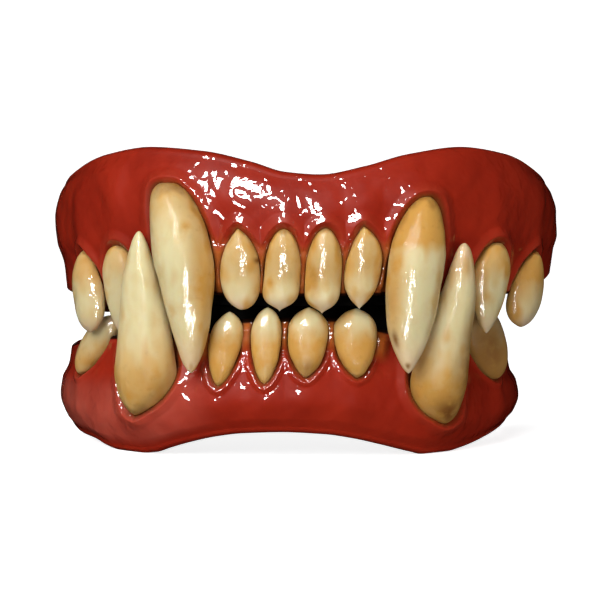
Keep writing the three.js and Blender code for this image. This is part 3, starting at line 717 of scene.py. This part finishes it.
# Noises of the materials
EVEN = (1, 1, 1)
NOISE_COLUMNS = ("scale", "detail", "roughness", "distortion", "stretch")
NOISE = {name: dict(zip(NOISE_COLUMNS, row)) for name, row in {
    "gum_mottle": (170.0, 4.0, 0.55, 0.0, EVEN),
    "gum_fine": (900.0, 3.0, 0.55, 0.0, EVEN),
    "gum_sheen_patch": (120.0, 3.0, 0.55, 0.0, EVEN),
    "gum_pale": (300.0, 3.0, 0.55, 0.0, EVEN),
    "gum_septum": (500.0, 3.0, 0.55, 0.0, EVEN),
    "gum_stain": (600.0, 3.0, 0.55, 0.0, EVEN),
    "gum_pebble": (620.0, 2.0, 0.5, 0.3, EVEN),
    "gum_bead": (1700.0, 1.0, 0.55, 0.0, EVEN),
    "gum_drop": (600.0, 1.0, 0.5, 0.4, EVEN),
    "tooth_streak": (420.0, 4.0, 0.6, 0.4, (1, 1, 0.22)),
    "tooth_speck": (900.0, 3.0, 0.55, 0.0, EVEN),
    "tooth_wash": (260.0, 5.0, 0.6, 0.0, EVEN),
    "tooth_brown": (700.0, 4.0, 0.55, 0.0, EVEN),
    "tooth_grain": (1100.0, 3.0, 0.55, 0.2, (1, 1, 0.35)),
    "tooth_sparkle": (1300.0, 2.0, 0.5, 0.2, EVEN),
    "tray_shade": (260.0, 4.0, 0.55, 0.0, EVEN),
}.items()}
# Stretch of a noise that makes a pattern, from low to high, and the values there
PATTERN = {
    "gum_mottle": (0.30, 0.72, 0.0, 1.0),
    "gum_fine": (0.3, 0.7, 0.0, 0.22),
    "gum_sheen_patch": (0.3, 0.7, 0.45, 1.0),
    "gum_pale": (0.3, 0.7, 0.15, 0.45),
    "gum_septum": (0.3, 0.6, 0.6, 1.0),
    "gum_stain": (0.25, 0.6, 0.45, 0.95),
    "tooth_streak": (0.35, 0.7, 0.0, 1.0),
    "tooth_speck": (0.55, 0.8, 0.0, 1.0),
    "tooth_wash": (0.45, 0.75, 0.0, 0.26),
    "tooth_brown": (0.25, 0.6, 0.55, 1.0),
    "tray_shade": (0.3, 0.7, 0.0, 1.0),
}
# Bumps, in metres, and how much the beads add to the drops
PEBBLE_HEIGHT = 0.00004
DROP_HEIGHT = 0.00048
BEAD_AMOUNT = 0.55
GRAIN_HEIGHT = 0.00010
GRAIN_STRENGTH = 0.35
SPARKLE_HEIGHT = 0.00012

GUM_RED = (0.38, 0.021, 0.006)
GUM_DEEP = (0.29, 0.014, 0.004)
GUM_PALE = (0.46, 0.052, 0.022)
# Pale pink veil of the painted sheen, a soft reflection painted on the lower gum's left cheek
GUM_PAINTED_SHEEN = (0.47, 0.080, 0.050)
GUM_STAIN = (0.16, 0.045, 0.008)
GUM_SEPTUM = (0.44, 0.105, 0.014)
# Near-black of the painted shade on the biting edge
GUM_EDGE_SHADE = (0.012, 0.004, 0.002)
# Painted shade: the inner face is a darker red than the outer
GUM_INSIDE_SHADE = (0.17, 0.014, 0.006)
IVORY = (0.76, 0.68, 0.39)
IVORY_TIP = (0.84, 0.62, 0.42)
AMBER = (0.64, 0.34, 0.076)
BROWN = (0.19, 0.065, 0.013)
# Dull brown that tone mixes in; on the lower right premolar it is painted shade
DULL_AND_SHADE = (0.32, 0.16, 0.05)
# The trays' near-black is painted shade, filling the dark slit between the rows
TRAY_DARK = (0.0015, 0.0012, 0.0012)
TRAY_LIGHT = (0.003, 0.0024, 0.0024)
TIP_AMOUNT = 0.8
STREAK_AMBER = 0.08
FRECKLE_BROWN = 0.20

# Shine at 0 and at 1 of what drives it: edge of the gum, streak and polish of a tooth, shade of a tray
GUM_SPECULAR = (0.08, 0.0)
GUM_COAT = (1.0, 0.0)
TOOTH_ROUGHNESS = (0.30, 0.42)
TOOTH_COAT = (0.05, 0.9)
TRAY_ROUGHNESS = (0.80, 0.95)

# Sockets of a colour mix: factor and two colours. Its sockets for numbers have the same names.
MIX_INPUTS = (0, 6, 7)
MIX_RESULT = 2


def material(name):
    mat = bpy.data.materials.new(name)
    mat.use_nodes = True
    tree = mat.node_tree
    return mat, tree, tree.nodes["Principled BSDF"]


def node(tree, kind, **settings):
    made = tree.nodes.new(kind)
    for key, value in settings.items():
        setattr(made, key, value)
    return made


def attribute(tree, name):
    return node(tree, "ShaderNodeAttribute", attribute_name=name).outputs["Fac"]


def noise(tree, name):
    row = NOISE[name]
    coords = node(tree, "ShaderNodeTexCoord")
    mapping = node(tree, "ShaderNodeMapping")
    mapping.inputs["Scale"].default_value = row["stretch"]
    tree.links.new(coords.outputs["Object"], mapping.inputs["Vector"])
    texture = node(tree, "ShaderNodeTexNoise")
    tree.links.new(mapping.outputs["Vector"], texture.inputs["Vector"])
    texture.inputs["Scale"].default_value = row["scale"]
    texture.inputs["Detail"].default_value = row["detail"]
    texture.inputs["Roughness"].default_value = row["roughness"]
    texture.inputs["Distortion"].default_value = row["distortion"]
    return texture.outputs["Fac"]


def span(tree, value, low, high, to_low, to_high):
    """Smooth rise from to_low to to_high as the value goes from low to high."""
    made = node(tree, "ShaderNodeMapRange", interpolation_type="SMOOTHSTEP")
    tree.links.new(value, made.inputs["Value"])
    for key, number in (("From Min", low), ("From Max", high), ("To Min", to_low), ("To Max", to_high)):
        made.inputs[key].default_value = number
    return made.outputs["Result"]


def pattern(tree, name):
    return span(tree, noise(tree, name), *PATTERN[name])


def maths(tree, operation, a, b):
    made = node(tree, "ShaderNodeMath", operation=operation)
    for socket, value in zip(made.inputs, (a, b)):
        if isinstance(value, (int, float)):
            socket.default_value = value
        else:
            tree.links.new(value, socket)
    return made.outputs[0]


def patchy(tree, value_name, pattern_name):
    """A per-point value broken up by a pattern."""
    return maths(tree, "MULTIPLY", attribute(tree, value_name), pattern(tree, pattern_name))


def mix(tree, factor, a, b):
    made = node(tree, "ShaderNodeMix", data_type="RGBA", blend_type="MIX")
    for index, value in zip(MIX_INPUTS, (factor, a, b)):
        if isinstance(value, tuple):
            made.inputs[index].default_value = (*value, 1.0)
        else:
            tree.links.new(value, made.inputs[index])
    return made.outputs[MIX_RESULT]


def bump(tree, height, distance):
    made = node(tree, "ShaderNodeBump")
    made.inputs["Distance"].default_value = distance
    tree.links.new(height, made.inputs["Height"])
    return made


def gum_material():
    mat, tree, shader = material("wet_gum")
    colour = mix(tree, pattern(tree, "gum_mottle"), GUM_DEEP, GUM_RED)
    colour = mix(tree, pattern(tree, "gum_fine"), colour, GUM_RED)
    # Painted sheen: a pale pink reflection painted on the lower gum's left cheek
    colour = mix(tree, patchy(tree, "painted_sheen", "gum_sheen_patch"), colour, GUM_PAINTED_SHEEN)
    colour = mix(tree, patchy(tree, "pale", "gum_pale"), colour, GUM_PALE)
    colour = mix(tree, patchy(tree, "septum", "gum_septum"), colour, GUM_SEPTUM)
    colour = mix(tree, patchy(tree, "stain", "gum_stain"), colour, GUM_STAIN)
    # Painted shade darkens the inner face
    colour = mix(tree, attribute(tree, "inside"), colour, GUM_INSIDE_SHADE)
    # Painted shade: the biting edge and the inner face next to it go near-black
    colour = mix(tree, attribute(tree, "edge"), colour, GUM_EDGE_SHADE)
    tree.links.new(colour, shader.inputs["Base Color"])
    shader.inputs["Roughness"].default_value = 0.5
    specular = span(tree, attribute(tree, "edge"), 0.0, 1.0, *GUM_SPECULAR)
    tree.links.new(specular, shader.inputs["Specular IOR Level"])
    shader.inputs["Subsurface Weight"].default_value = 0.12
    shader.inputs["Subsurface Radius"].default_value = (1.0, 0.25, 0.12)
    shader.inputs["Subsurface Scale"].default_value = 0.0008
    coat = span(tree, attribute(tree, "edge"), 0.0, 1.0, *GUM_COAT)
    tree.links.new(coat, shader.inputs["Coat Weight"])
    shader.inputs["Coat Roughness"].default_value = 0.04
    pebble = bump(tree, noise(tree, "gum_pebble"), PEBBLE_HEIGHT)
    tree.links.new(attribute(tree, "wet"), pebble.inputs["Strength"])
    tree.links.new(pebble.outputs["Normal"], shader.inputs["Normal"])
    bead_amount = maths(tree, "MULTIPLY", attribute(tree, "bead"), BEAD_AMOUNT)
    beads = maths(tree, "MULTIPLY", noise(tree, "gum_bead"), bead_amount)
    drops = maths(tree, "ADD", noise(tree, "gum_drop"), beads)
    wet = bump(tree, drops, DROP_HEIGHT)
    tree.links.new(attribute(tree, "wet"), wet.inputs["Strength"])
    tree.links.new(wet.outputs["Normal"], shader.inputs["Coat Normal"])
    return mat


def tooth_material():
    mat, tree, shader = material("stained_tooth")
    streak = pattern(tree, "tooth_streak")
    tip = maths(tree, "MULTIPLY", attribute(tree, "tip"), TIP_AMOUNT)
    colour = mix(tree, tip, IVORY, IVORY_TIP)
    streaked = maths(tree, "MULTIPLY", streak, STREAK_AMBER)
    washed = maths(tree, "ADD", pattern(tree, "tooth_wash"), streaked)
    amber = maths(tree, "ADD", attribute(tree, "amber"), washed)
    colour = mix(tree, amber, colour, AMBER)
    colour = mix(tree, patchy(tree, "brown", "tooth_brown"), colour, BROWN)
    freckle = maths(tree, "MULTIPLY", patchy(tree, "amber", "tooth_speck"), FRECKLE_BROWN)
    colour = mix(tree, freckle, colour, BROWN)
    # Tone mixes in dull brown, which is painted shade on the lower right premolar
    colour = mix(tree, attribute(tree, "tone"), colour, DULL_AND_SHADE)
    tree.links.new(colour, shader.inputs["Base Color"])
    tree.links.new(span(tree, streak, 0.0, 1.0, *TOOTH_ROUGHNESS), shader.inputs["Roughness"])
    shader.inputs["Subsurface Weight"].default_value = 0.35
    shader.inputs["Subsurface Radius"].default_value = (1.0, 0.6, 0.3)
    shader.inputs["Subsurface Scale"].default_value = 0.0015
    coat = span(tree, attribute(tree, "polish"), 0.0, 1.0, *TOOTH_COAT)
    tree.links.new(coat, shader.inputs["Coat Weight"])
    shader.inputs["Coat Roughness"].default_value = 0.08
    shader.inputs["Specular IOR Level"].default_value = 0.04
    grain = bump(tree, noise(tree, "tooth_grain"), GRAIN_HEIGHT)
    grain.inputs["Strength"].default_value = GRAIN_STRENGTH
    tree.links.new(grain.outputs["Normal"], shader.inputs["Normal"])
    sparkle = bump(tree, noise(tree, "tooth_sparkle"), SPARKLE_HEIGHT)
    sparkle.inputs["Strength"].default_value = 1.0
    tree.links.new(sparkle.outputs["Normal"], shader.inputs["Coat Normal"])
    return mat


# Painted shade: the trays are near-black so the slit between the rows reads dark
def tray_material():
    mat, tree, shader = material("shade_black_tray")
    shade = pattern(tree, "tray_shade")
    tree.links.new(mix(tree, shade, TRAY_DARK, TRAY_LIGHT), shader.inputs["Base Color"])
    tree.links.new(span(tree, shade, 0.0, 1.0, *TRAY_ROUGHNESS), shader.inputs["Roughness"])
    shader.inputs["Specular IOR Level"].default_value = 0.03
    return mat


MATERIALS = {"gum": gum_material(), "tooth": tooth_material(), "tray": tray_material()}


def dress(obj, slot_name, body, cad_node):
    obj.data.materials.clear()
    obj.data.materials.append(MATERIALS[slot_name])
    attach(obj, body)
    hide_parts(cad_node)


ENAMEL = bpy.data.collections.new("enamel")

for side in ("upper", "lower"):
    teeth = [Tooth(ARCH[side], row) for row in TEETH[side]]
    dress(make_gum(side, teeth), "gum", side, side + "_gum")
    for tooth in teeth:
        enamel = make_tooth(tooth)
        dress(enamel, "tooth", side, tooth.row["name"])
        ENAMEL.objects.link(enamel)
    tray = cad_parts[side + "_tray"]
    tray.data.materials.clear()
    tray.data.materials.append(MATERIALS["tray"])

# Stage: a pale floor that sweeps up behind, soft lights and the camera, in metres where no MM is named
FLOOR_FRONT = -1.6
FLOOR_BACK = 0.5
FLOOR_SIDE = 2.5
SWEEP_RADIUS = 0.4
SWEEP_START = 0.1
SWEEP_STEPS = 16
SWEEP_TOP = 2.0
AIM_MM = np.array([-0.74, 0.0, 20.13])
TARGET = Vector(((AIM_MM + FRAME_SHIFT) * MM).tolist())
LIGHT_DISTANCE = 0.9
LIGHT_COLUMNS = ("name", "azimuth", "elevation", "width", "height", "watts", "glossy", "only")
LIGHTS = [dict(zip(LIGHT_COLUMNS, row)) for row in [
    ("key", -28, 34, 0.70, 0.70, 8.2, False, None),
    ("fill", 18, -8, 0.60, 0.40, 2.6, False, None),
    ("softbox", -20, 27, 0.38, 0.32, 26.0, True, None),
    ("strip", -3, -12, 0.08, 0.75, 10.0, True, ENAMEL),
]]
WORLD_STRENGTH = 0.16
CAMERA_ELEVATION = math.radians(4)
CAMERA_DISTANCE = 0.3
CAMERA_SENSOR_MM = 36
CAMERA_LENS_MM = 144
CAMERA_CLIP = 0.01


def stage_floor():
    mat, _, shader = material("floor")
    shader.inputs["Base Color"].default_value = (0.93, 0.93, 0.93, 1)
    shader.inputs["Roughness"].default_value = 0.9
    shader.inputs["Specular IOR Level"].default_value = 0.0
    shader.inputs["Emission Color"].default_value = (1, 1, 1, 1)
    shader.inputs["Emission Strength"].default_value = 0.80
    profile = [(FLOOR_FRONT, 0.0), (FLOOR_BACK, 0.0)]
    for turn in np.linspace(SWEEP_START, math.pi / 2, SWEEP_STEPS):
        along = FLOOR_BACK + SWEEP_RADIUS * math.sin(turn)
        profile.append((along, SWEEP_RADIUS - SWEEP_RADIUS * math.cos(turn)))
    profile.append((FLOOR_BACK + SWEEP_RADIUS, SWEEP_TOP))
    verts = [(x, y, z) for y, z in profile for x in (-FLOOR_SIDE, FLOOR_SIDE)]
    faces = [(2 * i, 2 * i + 1, 2 * i + 3, 2 * i + 2) for i in range(len(profile) - 1)]
    mesh = bpy.data.meshes.new("floor")
    mesh.from_pydata(verts, [], faces)
    mesh.polygons.foreach_set("use_smooth", np.ones(len(mesh.polygons), bool))
    mesh.materials.append(mat)
    floor = bpy.data.objects.new("floor", mesh)
    bpy.context.scene.collection.objects.link(floor)
    # The camera sees the floor and the shadow on it, but the floor neither lights nor shades the part.
    floor.visible_diffuse = False
    floor.visible_glossy = False
    floor.visible_shadow = False


def light(name, azimuth, elevation, width, height, watts, glossy, only):
    """Area light aimed at the part. Azimuth 0 is the camera's side, positive to the right.
    A glossy light shows only in reflections, and the others only in the diffuse shading.
    With only set, the light falls on that collection alone."""
    data = bpy.data.lights.new(name, "AREA")
    data.shape = "RECTANGLE"
    data.size = width
    data.size_y = height
    data.energy = watts
    obj = bpy.data.objects.new(name, data)
    a, e = math.radians(azimuth), math.radians(elevation)
    direction = Vector((math.sin(a) * math.cos(e), -math.cos(a) * math.cos(e), math.sin(e)))
    obj.location = TARGET + direction * LIGHT_DISTANCE
    obj.rotation_euler = direction.to_track_quat("Z", "Y").to_euler()
    obj.visible_camera = False
    obj.visible_glossy = glossy
    obj.visible_diffuse = not glossy
    if only is not None:
        obj.light_linking.receiver_collection = only
    bpy.context.scene.collection.objects.link(obj)


stage_floor()
for row in LIGHTS:
    light(**row)

world = bpy.data.worlds.new("studio")
bpy.context.scene.world = world
world.use_nodes = True
world.node_tree.nodes["Background"].inputs["Color"].default_value = (1, 1, 1, 1)
world.node_tree.nodes["Background"].inputs["Strength"].default_value = WORLD_STRENGTH
world.cycles_visibility.glossy = False

camera = bpy.data.objects.new("camera", bpy.data.cameras.new("camera"))
camera.data.sensor_width = CAMERA_SENSOR_MM
camera.data.lens = CAMERA_LENS_MM
camera.data.clip_start = CAMERA_CLIP
back = Vector((0, -math.cos(CAMERA_ELEVATION), math.sin(CAMERA_ELEVATION)))
camera.location = TARGET + back * CAMERA_DISTANCE
camera.rotation_euler = back.to_track_quat("Z", "Y").to_euler()
bpy.context.scene.collection.objects.link(camera)
bpy.context.scene.camera = camera
bpy.context.scene.view_settings.view_transform = "Standard"
bpy.context.scene.view_settings.look = "None"
